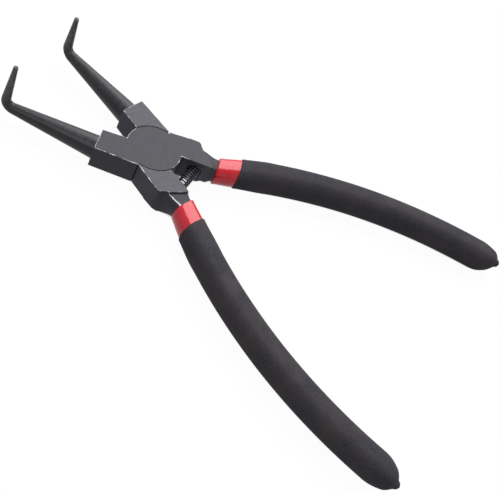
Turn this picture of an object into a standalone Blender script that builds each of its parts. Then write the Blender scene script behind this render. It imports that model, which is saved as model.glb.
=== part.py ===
"""Circlip pliers for inside rings, with tips bent up at a right angle.

Two forged levers cross in a lap joint and turn on a rivet. A coil spring between
their roots holds them open against a pair of stops, which is the pose modelled.
Each tang carries an inner layer of red plastic and a black grip over it.
A lever is drawn as it lies with the tool closed, jaw on +Y and handle on -Y, and is
then mirrored to its side and opened about the rivet. Metres, +X to the jaws, +Z the
way the tips point, and the origin on the rivet's axis at the underside of the head.
"""
import math

import bmesh
import bpy
from mathutils import Matrix, Vector

# Clearance between any two pieces
PIECE_GAP = 0.0003

# Head and lap joint
HEAD_THICKNESS = 0.0088
DISC_RADIUS = 0.0094
STOP_HEIGHT = 0.0008
HALF_OPENING = math.radians(18.5)
ARC_STEP = math.radians(7.5)

# Jaw block, in plan
BLOCK_REACH = 0.0086
JAW_HALF_GAP = 0.0006

# Jaw cone and bent tip
CONE_LEDGE = 0.0007
CONE_FULLNESS = 1.15
CONE_LENGTH = 0.0315
BEND_RADIUS = 0.003
BEND_START_RADIUS = 0.0017
TIP_ROOT_RADIUS = 0.00135
TIP_END_RADIUS = 0.0008
TIP_RISE = 0.0167
TIP_HALF_GAP = 0.00025
CONE_SIDES = 16
CONE_RINGS = 7
BEND_RINGS = 7
TIP_RINGS = 4

# Ground root behind the disc, in plan: distances from the disc's edge and from the centre line
ROOT_HALF_GAP = 0.0007
ROOT_INNER_REACH = 0.0082
ROOT_END_REACH = 0.0102
ROOT_END_OFFSET = 0.0018
ROOT_CORNER_REACH = 0.0071
ROOT_CORNER_OFFSET = 0.0080
SHOULDER_REACH = 0.0041
SHOULDER_RISE = 0.0011
SHOULDER_CHAMFER = 0.0018

# Pivot rivet
RIVET_SHANK_RADIUS = 0.003
RIVET_HEAD_RADIUS = 0.0042
RIVET_HEAD_DEPTH = 0.0012
RIVET_SIDES = 48

# Return spring
SPRING_REACH = 0.0047
COIL_RADIUS = 0.0016
WIRE_RADIUS = 0.0003
SPRING_HALF_LENGTH = 0.0092
END_COIL_PITCH = 0.0007
END_COILS = 1
ACTIVE_COILS = 13
STEPS_PER_COIL = 16
WIRE_SIDES = 6
SEAT_SIDES = 24

# Handle curve in plan: a Bezier curve, from a start inside the root
HANDLE_START_REACH = 0.0066
HANDLE_START_OFFSET = 0.0029
HANDLE_FIRST_PULL = Vector((-0.0372, 0.0128))
HANDLE_SECOND_PULL = Vector((-0.0742, 0.0191))
HANDLE_SPAN = Vector((-0.1156, 0.0089))

# Distances along the handle curve
BAND_START = 0.0075
BAND_LENGTH = 0.0073
SQUARE_UP_LENGTH = 0.020
TANG_TAPER = 0.014
TANG_LENGTH = 0.1138
TANG_ROUNDING = 0.003
NUB_LENGTH = 0.0016
STATION_STEP = 0.0062
ROUNDING_STATIONS = 7

# Sections across the handle: an oval with its top and bottom cut flat
NECK_HALF_WIDTH = 0.0039
NECK_SHIFT = 0.0019
NECK_SLOPE = 0.0010
NECK_CROWN = 0.0025
ROOT_HALF_WIDTH = 0.00335
ROOT_HALF_HEIGHT = 0.0032
TANG_HALF_WIDTH = 0.0026
TANG_HALF_HEIGHT = 0.0030
OVAL_CROWN = 0.0006
SIDE_POINTS = 7

# Dipped layers
INNER_WALL = 0.00045
GRIP_EDGE_WALL = 0.00035
GRIP_WALL = 0.0012
GRIP_WALL_TAPER = 0.012
NUB_RADIUS = 0.0014
NUB_BLEND = 3.0

# Values that follow from those above
MID_HEIGHT = HEAD_THICKNESS / 2
RECESS_RADIUS = DISC_RADIUS + PIECE_GAP
STOP_RADIUS = DISC_RADIUS + STOP_HEIGHT
STOP_ANGLE = math.pi / 2 - HALF_OPENING
BLOCK_FRONT_X = DISC_RADIUS + BLOCK_REACH
BLOCK_OUTER_Y = STOP_RADIUS * math.sin(STOP_ANGLE)
CONE_CENTRE_Y = (JAW_HALF_GAP + BLOCK_OUTER_Y) / 2
CONE_BASE_RADIUS = min(MID_HEIGHT, (BLOCK_OUTER_Y - JAW_HALF_GAP) / 2) - CONE_LEDGE
HANDLE_START = Vector((-DISC_RADIUS - HANDLE_START_REACH, HANDLE_START_OFFSET))
SPRING_X = -DISC_RADIUS - SPRING_REACH
SEAT_RADIUS = COIL_RADIUS + WIRE_RADIUS + PIECE_GAP
INNER_COVER = PIECE_GAP + INNER_WALL
GRIP_START = BAND_START + BAND_LENGTH

STEEL = ("dark_steel", (0.10, 0.10, 0.11, 1), 0.4, 1.0)
SPRING_STEEL = ("spring_steel", (0.06, 0.06, 0.06, 1), 0.35, 1.0)
RED_PLASTIC = ("red_plastic", (0.62, 0.01, 0.03, 1), 0.25, 0.0)
BLACK_PLASTIC = ("black_plastic", (0.03, 0.03, 0.033, 1), 0.8, 0.0)


def make_material(name, colour, roughness, metallic):
    """One Principled material, made once for each name."""
    material = bpy.data.materials.get(name) or bpy.data.materials.new(name)
    material.use_nodes = True
    shader = material.node_tree.nodes["Principled BSDF"]
    shader.inputs["Base Color"].default_value = colour
    shader.inputs["Roughness"].default_value = roughness
    shader.inputs["Metallic"].default_value = metallic
    material.diffuse_color = colour
    return material


def new_object(name, mesh_data, recipe=None):
    """Turn a bmesh into an object with outward faces."""
    bmesh.ops.recalc_face_normals(mesh_data, faces=mesh_data.faces)
    mesh = bpy.data.meshes.new(name)
    mesh_data.to_mesh(mesh)
    mesh_data.free()
    obj = bpy.data.objects.new(name, mesh)
    bpy.context.scene.collection.objects.link(obj)
    if recipe:
        mesh.materials.append(make_material(*recipe))
    return obj


def prism(name, outline, low, high, recipe=None):
    """Raise a plan outline from one height to another."""
    bm = bmesh.new()
    base = bm.faces.new([bm.verts.new((x, y, low)) for x, y in outline])
    raised = bmesh.ops.extrude_face_region(bm, geom=[base])
    top = [v for v in raised["geom"] if isinstance(v, bmesh.types.BMVert)]
    bmesh.ops.translate(bm, verts=top, vec=(0, 0, high - low))
    return new_object(name, bm, recipe)


def loft(name, rings, recipe=None):
    """Skin a run of closed rings and cap both ends."""
    bm = bmesh.new()
    loops = [[bm.verts.new(point) for point in ring] for ring in rings]
    bridge(bm, loops)
    bm.faces.new(loops[0])
    bm.faces.new(loops[-1])
    return new_object(name, bm, recipe)


def cup(name, outer_rings, inner_rings, recipe):
    """Skin a shell that is open at its first rings and closed at its last ones."""
    bm = bmesh.new()
    outer = [[bm.verts.new(point) for point in ring] for ring in outer_rings]
    inner = [[bm.verts.new(point) for point in ring] for ring in inner_rings]
    bridge(bm, outer)
    bridge(bm, inner)
    bridge(bm, [outer[0], inner[0]])
    bm.faces.new(outer[-1])
    bm.faces.new(inner[-1])
    return new_object(name, bm, recipe)


def bridge(bm, loops):
    """Join each ring of vertices to the next with quads."""
    for first, second in zip(loops, loops[1:]):
        for i in range(len(first)):
            j = (i + 1) % len(first)
            bm.faces.new((first[i], first[j], second[j], second[i]))


def circle(centre, across, up, radius, sides):
    """Points round a circle in the plane of two unit vectors."""
    turn = 2 * math.pi / sides
    return [centre + radius * (math.cos(i * turn) * across + math.sin(i * turn) * up)
            for i in range(sides)]


def turned(name, profile, sides, recipe=None):
    """Turn a profile of (radius, height) pairs about Z."""
    across, up = Vector((1, 0, 0)), Vector((0, 1, 0))
    rings = [circle(Vector((0, 0, z)), across, up, radius, sides) for radius, z in profile]
    return loft(name, rings, recipe)


def combine(base, other, operation):
    """Apply one Boolean to the base object and delete the other object."""
    modifier = base.modifiers.new(operation.lower(), "BOOLEAN")
    modifier.operation = operation
    modifier.solver = "EXACT"
    modifier.object = other
    evaluated = base.evaluated_get(bpy.context.evaluated_depsgraph_get())
    result = bpy.data.meshes.new_from_object(evaluated)
    base.modifiers.remove(modifier)
    base.data = result
    bpy.data.objects.remove(other)


def plan_arc(start, end):
    """Plan points along the disc's edge, from one angle to another."""
    steps = max(2, round((end - start) / ARC_STEP))
    angles = [start + (end - start) * i / steps for i in range(steps + 1)]
    return [(DISC_RADIUS * math.cos(a), DISC_RADIUS * math.sin(a)) for a in angles]


def head_outline():
    """Plan of one closed lever's ground head: block, disc and root."""
    wall = Vector((math.cos(STOP_ANGLE), math.sin(STOP_ANGLE)))
    clear = Vector((wall.y, -wall.x)) * PIECE_GAP / 2
    wall_foot = wall * DISC_RADIUS + clear
    wall_top = wall * STOP_RADIUS + clear
    foot_angle = math.atan2(wall_foot.y, wall_foot.x)
    shoulder_x = -DISC_RADIUS - SHOULDER_REACH
    shoulder_y = -DISC_RADIUS - SHOULDER_RISE
    outline = [(BLOCK_FRONT_X, JAW_HALF_GAP), (BLOCK_FRONT_X, BLOCK_OUTER_Y), (wall_top.x, BLOCK_OUTER_Y)]
    outline += plan_arc(foot_angle, math.pi + math.asin(ROOT_HALF_GAP / DISC_RADIUS))
    outline.append((-DISC_RADIUS - ROOT_INNER_REACH, -ROOT_HALF_GAP))
    outline.append((-DISC_RADIUS - ROOT_END_REACH, -ROOT_END_OFFSET))
    outline.append((-DISC_RADIUS - ROOT_CORNER_REACH, -ROOT_CORNER_OFFSET))
    outline.append((shoulder_x - SHOULDER_CHAMFER, shoulder_y + SHOULDER_CHAMFER))
    outline.append((shoulder_x, shoulder_y))
    outline.append((-wall.x * STOP_RADIUS - clear.x, -wall.y * STOP_RADIUS - clear.y))
    outline += plan_arc(foot_angle - math.pi, math.asin(JAW_HALF_GAP / DISC_RADIUS))
    return outline


def jaw_rings():
    """Rings along one closed lever's jaw: cone, bend and tip, jaw on +Y."""
    start = Vector((BLOCK_FRONT_X - PIECE_GAP, CONE_CENTRE_Y, MID_HEIGHT))
    corner = Vector((BLOCK_FRONT_X + CONE_LENGTH, TIP_HALF_GAP + TIP_ROOT_RADIUS, MID_HEIGHT))
    along = (corner - start).normalized()
    up = Vector((0, 0, 1))
    side = along.cross(up)
    straight = (corner - start).length - BEND_RADIUS
    rings = []
    for i in range(CONE_RINGS):
        share = i / (CONE_RINGS - 1)
        radius = CONE_BASE_RADIUS - (CONE_BASE_RADIUS - BEND_START_RADIUS) * share ** CONE_FULLNESS
        rings.append(circle(start + along * straight * share, side, up, radius, CONE_SIDES))
    centre = start + along * straight + up * BEND_RADIUS
    for i in range(1, BEND_RINGS):
        share = i / (BEND_RINGS - 1)
        angle = share * math.pi / 2
        radius = BEND_START_RADIUS + (TIP_ROOT_RADIUS - BEND_START_RADIUS) * share
        outward = along * math.sin(angle) - up * math.cos(angle)
        rings.append(circle(centre + outward * BEND_RADIUS, side, -outward, radius, CONE_SIDES))
    for i in range(1, TIP_RINGS + 1):
        share = i / TIP_RINGS
        radius = TIP_ROOT_RADIUS + (TIP_END_RADIUS - TIP_ROOT_RADIUS) * share
        middle = corner + up * (BEND_RADIUS + (TIP_RISE - BEND_RADIUS) * share)
        rings.append(circle(middle, side, -along, radius, CONE_SIDES))
    return rings


def handle_point(t):
    """Point of the handle curve at a Bezier parameter, with the handle on +Y."""
    rest = 1 - t
    return (HANDLE_START + 3 * rest ** 2 * t * HANDLE_FIRST_PULL
            + 3 * rest * t ** 2 * HANDLE_SECOND_PULL + t ** 3 * HANDLE_SPAN)


def handle_place(distance):
    """Point and direction at a distance along the handle curve, on the -Y side of a closed lever."""
    steps = 400
    point = handle_point(0)
    walked = 0.0
    for i in range(1, steps + 1):
        following = handle_point(i / steps)
        length = (following - point).length
        direction = (following - point) / length
        if walked + length >= distance:
            break
        walked += length
        point = following
    place = point + direction * (distance - walked)
    return Vector((place.x, -place.y)), Vector((direction.x, -direction.y))


def smooth(value, start, length):
    """Ease from 0 at start to 1 at start + length."""
    share = min(1.0, max(0.0, (value - start) / length))
    return share * share * (3 - 2 * share)


def mix(first, second, share):
    return first + (second - first) * share


def handle_ring(distance, cover, shrink=1.0):
    """Ring across the handle, at a height of cover above the forging's surface.

    The layers are dipped with the tool closed, so their front edges lie square to X.
    The rings there lean to match, and square up to the handle further on.
    """
    point, direction = handle_place(distance)
    lean = (1 - smooth(distance, GRIP_START, SQUARE_UP_LENGTH)) * direction.y / direction.x
    taper = smooth(distance, GRIP_START, TANG_TAPER)
    neck = 1 - smooth(distance, 0, BAND_START)
    half_width = mix(mix(ROOT_HALF_WIDTH, TANG_HALF_WIDTH, taper), NECK_HALF_WIDTH, neck) + cover
    half_height = mix(ROOT_HALF_HEIGHT, TANG_HALF_HEIGHT, taper) + NECK_SLOPE * neck + cover
    oval_height = half_height + mix(OVAL_CROWN, NECK_CROWN, neck)
    flat = math.asin(half_height / oval_height)
    across = Vector((direction.y, -direction.x)) - direction * lean
    point = point - Vector((0, NECK_SHIFT * neck))
    ring = []
    for side in (1, -1):
        for i in range(SIDE_POINTS):
            angle = side * flat * (2 * i / (SIDE_POINTS - 1) - 1)
            plan = point + across * side * half_width * shrink * math.cos(angle)
            ring.append(Vector((plan.x, plan.y, MID_HEIGHT + oval_height * shrink * math.sin(angle))))
    return ring


def handle_rings(start, cover, nub=0.0):
    """Rings from start to a rounded end that covers the tang's end by as much as its sides."""
    end_cover = cover(TANG_LENGTH)
    round_start = TANG_LENGTH - TANG_ROUNDING
    rounding = TANG_ROUNDING + end_cover
    count = int(round_start / STATION_STEP)
    stations = [start] + [i * STATION_STEP for i in range(count) if i * STATION_STEP > start]
    rings = [handle_ring(distance, cover(distance)) for distance in stations]
    for i in range(ROUNDING_STATIONS):
        angle = math.pi / 2 * i / ROUNDING_STATIONS
        shrink = (math.cos(angle) ** NUB_BLEND + nub ** NUB_BLEND) ** (1 / NUB_BLEND)
        rings.append(handle_ring(round_start + rounding * math.sin(angle), end_cover, min(1, shrink)))
    return rings


def steel_cover(distance):
    return 0.0


def inner_bore(distance):
    return PIECE_GAP


def inner_cover(distance):
    return INNER_COVER


def grip_bore(distance):
    return INNER_COVER + PIECE_GAP


def grip_cover(distance):
    """Height of the grip's outer face, thin at its open edge."""
    wall = mix(GRIP_EDGE_WALL, GRIP_WALL, smooth(distance, GRIP_START, GRIP_WALL_TAPER))
    return INNER_COVER + PIECE_GAP + wall


def grip_rings():
    """Rings of the grip's outer face, which runs out into the small drip at its end."""
    cover = grip_cover(TANG_LENGTH)
    nub = NUB_RADIUS / (TANG_HALF_WIDTH + cover)
    rings = handle_rings(GRIP_START, grip_cover, nub)
    for share in (0.0, 0.5, 0.85, 1.0):
        distance = TANG_LENGTH + cover + NUB_LENGTH * share
        rings.append(handle_ring(distance, cover, nub * math.sqrt(1.08 - share ** 2)))
    return rings


def spring_rings():
    """Rings along the spring's wire, with closed end coils, about an axis along Y."""
    coils = ACTIVE_COILS + 2 * END_COILS
    end_length = END_COILS * END_COIL_PITCH
    wire_length = 2 * (SPRING_HALF_LENGTH - WIRE_RADIUS)
    pitch = (wire_length - 2 * end_length) / ACTIVE_COILS
    rings = []
    for i in range(coils * STEPS_PER_COIL + 1):
        turns = i / STEPS_PER_COIL
        in_first = min(turns, END_COILS)
        in_middle = min(max(turns - END_COILS, 0), ACTIVE_COILS)
        in_last = max(turns - END_COILS - ACTIVE_COILS, 0)
        along = (in_first + in_last) * END_COIL_PITCH + in_middle * pitch - wire_length / 2
        radial = Vector((math.cos(2 * math.pi * turns), 0, math.sin(2 * math.pi * turns)))
        centre = Vector((SPRING_X, along, MID_HEIGHT)) + radial * COIL_RADIUS
        rings.append(circle(centre, radial, Vector((0, 1, 0)), WIRE_RADIUS, WIRE_SIDES))
    return rings


def rivet_profile(gap, beyond):
    """Radius and height pairs of the rivet, or of its hole with a gap and length beyond the faces."""
    head = RIVET_HEAD_RADIUS + gap
    shank = RIVET_SHANK_RADIUS + gap
    profile = [(head, 0), (shank, RIVET_HEAD_DEPTH)]
    profile += [(shank, HEAD_THICKNESS - RIVET_HEAD_DEPTH), (head, HEAD_THICKNESS)]
    if beyond:
        profile = [(head, -beyond)] + profile + [(head, HEAD_THICKNESS + beyond)]
    return profile


def set_on_side(obj, side, body):
    """Mirror a closed piece to its lever's side, open it and hang it on its lever's body."""
    place = Matrix.Rotation(side * HALF_OPENING, 4, "Z") @ Matrix.Diagonal((1, side, 1, 1))
    obj.data.transform(place)
    if side < 0:
        obj.data.flip_normals()
    obj.parent = body


def make_lever(name, side, body):
    """One forging: head with its half disc, jaw, root and tang."""
    lever = prism(name, head_outline(), 0, HEAD_THICKNESS, STEEL)
    combine(lever, loft("jaw", jaw_rings()), "UNION")
    combine(lever, loft("tang", handle_rings(0, steel_cover)), "UNION")
    mid = MID_HEIGHT + side * PIECE_GAP / 2
    far = MID_HEIGHT - side * HEAD_THICKNESS
    arc = [(RECESS_RADIUS, min(mid, far)), (RECESS_RADIUS, max(mid, far))]
    combine(lever, turned("recess", arc, RIVET_SIDES), "DIFFERENCE")
    hole = rivet_profile(PIECE_GAP, HEAD_THICKNESS)
    combine(lever, turned("hole", hole, RIVET_SIDES), "DIFFERENCE")
    set_on_side(lever, side, body)
    seat_end = Vector((SPRING_X, -side * (SPRING_HALF_LENGTH + PIECE_GAP), MID_HEIGHT))
    seat_mouth = Vector((SPRING_X, 0, MID_HEIGHT))
    across, up = Vector((1, 0, 0)), Vector((0, 0, 1))
    seat = [circle(centre, across, up, SEAT_RADIUS, SEAT_SIDES) for centre in (seat_end, seat_mouth)]
    combine(lever, loft("seat", seat), "DIFFERENCE")
    return lever


def make_layers(name, side, body):
    """The two dipped layers on one tang."""
    inner = cup(name + "_inner_dip", handle_rings(BAND_START, inner_cover),
                handle_rings(BAND_START, inner_bore), RED_PLASTIC)
    grip = cup(name + "_grip", grip_rings(), handle_rings(GRIP_START, grip_bore), BLACK_PLASTIC)
    for layer in (inner, grip):
        set_on_side(layer, side, body)


def smooth_round_faces(obj):
    obj.data.shade_smooth()
    obj.data.set_sharp_from_angle(angle=math.radians(35))


def main():
    for obj in list(bpy.data.objects):
        bpy.data.objects.remove(obj, do_unlink=True)
    for name, side in (("upper_lever", 1), ("lower_lever", -1)):
        body = bpy.data.objects.new(name + "_pivot", None)
        bpy.context.scene.collection.objects.link(body)
        make_lever(name, side, body)
        make_layers(name, side, body)
    turned("pivot_rivet", rivet_profile(0, 0), RIVET_SIDES, STEEL)
    loft("return_spring", spring_rings(), SPRING_STEEL)
    for obj in bpy.data.objects:
        if obj.type == "MESH":
            smooth_round_faces(obj)


main()
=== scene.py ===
"""Looks for circlip pliers with tips bent up at a right angle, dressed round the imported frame.

A lever is drawn as it lies with the tool closed, jaw on +Y and handle on -Y, and is
then mirrored to its side and opened about the rivet. Metres, +X to the jaws, +Z the
way the tips point, and the origin on the rivet's axis at the underside of the head.
"""
import math
from collections import namedtuple
from functools import partial

import bmesh
import bpy
from mathutils import Matrix, Vector


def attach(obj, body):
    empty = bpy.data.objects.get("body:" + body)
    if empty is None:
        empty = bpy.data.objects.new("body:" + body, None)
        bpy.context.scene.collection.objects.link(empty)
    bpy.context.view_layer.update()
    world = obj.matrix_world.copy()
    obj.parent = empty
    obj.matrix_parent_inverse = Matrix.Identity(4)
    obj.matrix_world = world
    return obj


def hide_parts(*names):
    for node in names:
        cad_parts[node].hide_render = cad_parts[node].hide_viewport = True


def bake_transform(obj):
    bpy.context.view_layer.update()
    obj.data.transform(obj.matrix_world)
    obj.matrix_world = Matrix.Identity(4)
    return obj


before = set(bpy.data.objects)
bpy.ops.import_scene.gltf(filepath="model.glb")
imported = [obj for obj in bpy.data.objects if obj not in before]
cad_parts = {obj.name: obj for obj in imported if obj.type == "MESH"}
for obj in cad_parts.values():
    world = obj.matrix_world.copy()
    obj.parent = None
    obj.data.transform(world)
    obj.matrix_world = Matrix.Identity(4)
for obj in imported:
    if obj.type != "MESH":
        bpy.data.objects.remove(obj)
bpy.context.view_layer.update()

MM = 0.001

# Head and lap joint
HEAD_THICKNESS = 8.8 * MM
DISC_RADIUS = 9.4 * MM
LAP_GAP = 0.16 * MM
RIM_GAP = 0.3 * MM
STOP_HEIGHT = 0.8 * MM
STOP_GAP = 0.3 * MM
HALF_OPENING = math.radians(18.5)
ARC_STEP = math.radians(1.5)
EDGE_WIDTH = 0.14 * MM
EDGE_RINGS = 3
CORNER_RADIUS = 0.22 * MM

# Jaw block, in plan
BLOCK_REACH = 8.6 * MM
BLOCK_SKEW = 0.3 * MM
JAW_HALF_GAP = 0.1 * MM
JAW_FRONT_HALF_GAP = 0.7 * MM

# Jaw cone and bent tip
CONE_LEDGE = 0.3 * MM
CONE_ROOTING = 1.0 * MM
CONE_LENGTH = 31.65 * MM
BEND_RADIUS = 3.0 * MM
BEND_START_RADIUS = 1.87 * MM
TIP_ROOT_RADIUS = 1.57 * MM
TIP_END_RADIUS = 0.79 * MM
TIP_RISE = 16.85 * MM
TIP_HALF_GAP = 0.25 * MM
TIP_LEAN = 0.35 * MM
TIP_LEAN_BACK = 0.35 * MM
TIP_ROUNDING = 0.25 * MM
CONE_SIDES = 48
CONE_RINGS = 24
BEND_RINGS = 14
TIP_RINGS = 12
TIP_END_RINGS = 5

# Root behind the disc, in plan from the centre line: the shoulder, then the forged neck
ROOT_START_X = -10.5 * MM
HEAD_END_X = -12.5 * MM
SHOULDER_OFFSET = 10.45 * MM
SHOULDER_RUN = 2.2 * MM
SHOULDER_LOW_X = -14.4 * MM
SHOULDER_LOW_RUN = 7.6 * MM
NECK_LOW_OFFSET = 7.3 * MM
NECK_OUTER_OFFSET = 7.5 * MM
NECK_NARROWING = 0.8 * MM
NECK_NARROWING_RUN = 6.0 * MM
ROOT_HALF_GAP = 0.95 * MM
INNER_BEND_RUN = 6.0 * MM
FOOT_END_X = -17.4 * MM
FOOT_END_RUN = 1.7 * MM
FOOT_END_STEP = 1.1 * MM
INNER_LOW_BEND_X = -20.0 * MM
INNER_LOW_BEND_RUN = 2.4 * MM
BURR_X = -12.9 * MM
BURR_HALF_WIDTH = 1.1 * MM
GROUND_LOW_STEP = 0.4 * MM
STEP_RUN = 0.12 * MM
NECK_CREASE = 0.45 * MM
SEAM_RISE = 0.002 * MM
SEAM_SINK = 0.02 * MM
ROOT_STATIONS = 26
NECK_STATIONS = 16
NECK_CREASE_RUN = 0.4
# Quads of the lower neck's round edge that are bare steel and a painted highlight
BARE_HIGHLIGHT_QUADS = (1, 2)

# Pivot rivet, ground flush
RIVET_SHANK_RADIUS = 3.0 * MM
RIVET_HEAD_RADIUS = 4.2 * MM
RIVET_HEAD_DEPTH = 1.2 * MM
RIVET_GAP = 0.02 * MM
ROUND_SIDES = 160

# Return spring
SPRING_REACH = 4.7 * MM
COIL_RADIUS = 1.72 * MM
WIRE_RADIUS = 0.3 * MM
SPRING_HALF_LENGTH = 9.2 * MM
END_COIL_PITCH = 0.7 * MM
END_COILS = 1
ACTIVE_COILS = 13
STEPS_PER_COIL = 36
WIRE_SIDES = 12
SEAT_GAP = 0.3 * MM
SEAT_SIDES = 64

# Handle curve in plan: a Bezier curve, from a start inside the root
HANDLE_START_REACH = 6.6 * MM
HANDLE_START_OFFSET = 2.2 * MM
HANDLE_FIRST_PULL = Vector((-37.2, 14.7)) * MM
HANDLE_SECOND_PULL = Vector((-74.2, 19.3)) * MM
HANDLE_SPAN = Vector((-115.6, 9.45)) * MM
CURVE_STEPS = 400

# Distances along the handle curve
BAND_START = 6.7 * MM
BAND_LENGTH = 8.1 * MM
SQUARE_UP_LENGTH = 20.0 * MM
TANG_TAPER = 14.0 * MM
TANG_LENGTH = 113.8 * MM
TANG_ROUNDING = 3.0 * MM
STATION_STEP = 1.2 * MM

# Sections across the handle: an oval with its top and bottom cut flat
ROOT_HALF_WIDTH = 3.55 * MM
ROOT_HALF_HEIGHT = 3.25 * MM
TANG_HALF_WIDTH = 2.6 * MM
TANG_HALF_HEIGHT = 3.0 * MM
OVAL_CROWN = 0.6 * MM
SIDE_POINTS = 13
CORNER_POINTS = 5
FLAT_POINTS = 6

# Dipped layers
DIP_START_COVER = 0.8 * MM
DIP_COVER = 1.15 * MM
DIP_EDGE = 0.25 * MM
DIP_CREASE = 0.5 * MM
DIP_ROUNDNESS = 0.4
GRIP_START_COVER = 1.5 * MM
GRIP_COVER = 2.37 * MM
GRIP_TAPER = 12.0 * MM
GRIP_EDGE = 0.3 * MM
GRIP_ROUNDNESS = 0.75
OVAL_POWER = 2.4
GRIP_END_START = 108.5 * MM
GRIP_END_LENGTH = 8.6 * MM
HIDDEN_GAP = 0.02 * MM
MOUTH_WIDTH = 0.05 * MM
MOUTH_RINGS = 6
DRIP_LENGTH = 1.3 * MM
DRIP_SHIFT_RUN = 7.0 * MM
DRIP_TIP_RADIUS = 0.85 * MM
DRIP_SLOPE = 0.45
DRIP_FADE_START = 3.0 * MM
DRIP_FADE = 4.0 * MM
DRIP_BLEND_POWER = 4
END_STATIONS = 34

# Camera
CAMERA_TARGET = Vector((-44.35, 7.8, 4.4)) * MM
CAMERA_DISTANCE = 327.0 * MM
CAMERA_AZIMUTH = math.radians(182.95)
CAMERA_ELEVATION = math.radians(47.54)
CAMERA_ROLL = math.radians(32.38)
CAMERA_LENS = 72.3
CAMERA_CLIP_START = 10.0 * MM

# Room, which reflects dark on one side, and floor
ROOM_LEVEL = 0.24
DARK_SIDE = Vector((0.05, 0.74, 0.67))
DARK_SIDE_START = 0.65
DARK_SIDE_FULL = 0.9
DARK_SIDE_LEVEL = 0.05
FLOOR_HALF_SIZE = 3000 * MM
FLOOR_COLOUR = 0.95
FLOOR_BOUNCE = 0.22
FLOOR_SHADOW = 0.04
# Occlusion levels at which the floor's glow is fully painted shade, and fully white
PAINTED_SHADE_OCCLUSION = 0.06
FULL_GLOW_OCCLUSION = 0.2
OCCLUSION_SAMPLES = 64

# Lamps, which aim at the middle of the tool
Lamp = namedtuple("Lamp", "name direction distance size power")
LAMPS = (Lamp("key", direction=Vector((0.05, -0.62, 0.78)), distance=900 * MM, size=800 * MM, power=10.5),
         Lamp("fill", direction=Vector((0.1, 0.74, 0.67)), distance=900 * MM, size=300 * MM, power=2.3))

# Creases sharper than these stay sharp in the shading
STEEL_SHARP_ANGLE = math.radians(35)
SOFT_SHARP_ANGLE = math.radians(60)

# Sizes of the finishes' marks, and depths of their relief
MARK_SIZE = 1.5 * MM
MARK_STRETCH = (4.5, 0.7, 1.0)
MARK_WAVINESS = 0.6
MARK_DEPTH = 0.02 * MM / 0.3
GROUND_CLOUD_SIZE = 6.0 * MM
FORGED_GRAIN_SIZE = 0.35 * MM
FORGED_PATCH_SIZE = 3.0 * MM
FORGED_DEPTH = 0.02 * MM
MOTTLE_SIZE = 1.3 * MM
MOTTLE_DEPTH = 0.01 * MM
TEMPER_CLOUD_SIZE = 7.0 * MM
PALE_START_HEIGHT = 6.0 * MM
PALE_FULL_HEIGHT = 12.0 * MM
WEAR_SIZE = 2.4 * MM
WIRE_GRAIN_SIZE = 0.5 * MM
DIP_WAVE_SIZE = 2.5 * MM
DIP_WAVE_DEPTH = 0.04 * MM
SAND_SIZE = 0.45 * MM
SAND_DEPTH = 0.05 * MM
DUST_SIZE = 9.0 * MM
LINT_SIZE = 6.0 * MM
LINT_WIDTH = 0.005
NOISE_ROUGHNESS = 0.6

# Colours: a tint is the shares of green and blue in a grey
VIOLET_TINT = (0.94, 1.16)
FORGED_TINT = (0.95, 1.25)
TURNED_TINT = (0.97, 1.1)
GRIP_TINT = (0.96, 1.16)
GROUND_CLOUD_TINT = (0.98, 1.03)
WORN_TINT = (0.99, 1.02)
LINT_TINT = (0.98, 1.02)
NEUTRAL_TINT = (1, 1)
RED_DARK = (0.53, 0.006, 0.02, 1)
RED_PALE = (0.63, 0.01, 0.027, 1)
DUST = (0.066, 0.056, 0.059, 1)

# Values that follow from those above
MID_HEIGHT = HEAD_THICKNESS / 2
STOP_RADIUS = DISC_RADIUS + STOP_HEIGHT
STOP_ANGLE = math.pi / 2 - HALF_OPENING
BLOCK_FRONT_X = DISC_RADIUS + BLOCK_REACH
BLOCK_OUTER_Y = STOP_RADIUS * math.sin(STOP_ANGLE)
CONE_CENTRE_Y = (JAW_FRONT_HALF_GAP + BLOCK_OUTER_Y) / 2
CONE_BASE_RADIUS = min(MID_HEIGHT, (BLOCK_OUTER_Y - JAW_FRONT_HALF_GAP) / 2) - CONE_LEDGE
HANDLE_START = Vector((-DISC_RADIUS - HANDLE_START_REACH, HANDLE_START_OFFSET))
SPRING_X = -DISC_RADIUS - SPRING_REACH
SEAT_RADIUS = COIL_RADIUS + WIRE_RADIUS + SEAT_GAP
GRIP_START = BAND_START + BAND_LENGTH
TANG_ROUND_START = TANG_LENGTH - TANG_ROUNDING
HIDDEN_STEP = 4 * STATION_STEP
ROOT_OVAL_ANGLE = math.asin(ROOT_HALF_HEIGHT / (ROOT_HALF_HEIGHT + OVAL_CROWN))
HALF_RING = SIDE_POINTS + 2 * (CORNER_POINTS - 1) + FLAT_POINTS
FLOOR_HEIGHT = MID_HEIGHT - TANG_HALF_HEIGHT - GRIP_COVER - 2 * HIDDEN_GAP

# Places of a forging's finishes in its list of materials
FORGED, GROUND, WORN, BARE_HIGHLIGHT, TURNED = range(5)

# The two forgings are ground and bent by hand, so they differ a little
Lever = namedtuple("Lever", "name side shoulder_x inner_bend_x ground_outer_x ground_inner_x step burr "
                            "neck_flat neck_edge base_lift bend_lift drip_shift")
UPPER = Lever(name="upper_lever", side=1, shoulder_x=-13.9 * MM, inner_bend_x=-19.3 * MM,
              ground_outer_x=-15.6 * MM, ground_inner_x=-20.6 * MM, step=0.2 * MM, burr=0.0,
              neck_flat=GROUND, neck_edge=FORGED,
              base_lift=0.0, bend_lift=-0.2 * MM, drip_shift=1.2 * MM)
LOWER = Lever(name="lower_lever", side=-1, shoulder_x=-14.35 * MM, inner_bend_x=-17.8 * MM,
              ground_outer_x=-16.6 * MM, ground_inner_x=-19.5 * MM, step=0.75 * MM, burr=1.0 * MM,
              neck_flat=FORGED, neck_edge=BARE_HIGHLIGHT,
              base_lift=-0.4 * MM, bend_lift=1.1 * MM, drip_shift=0.3 * MM)


def mix(first, second, share):
    return first + (second - first) * share


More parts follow.
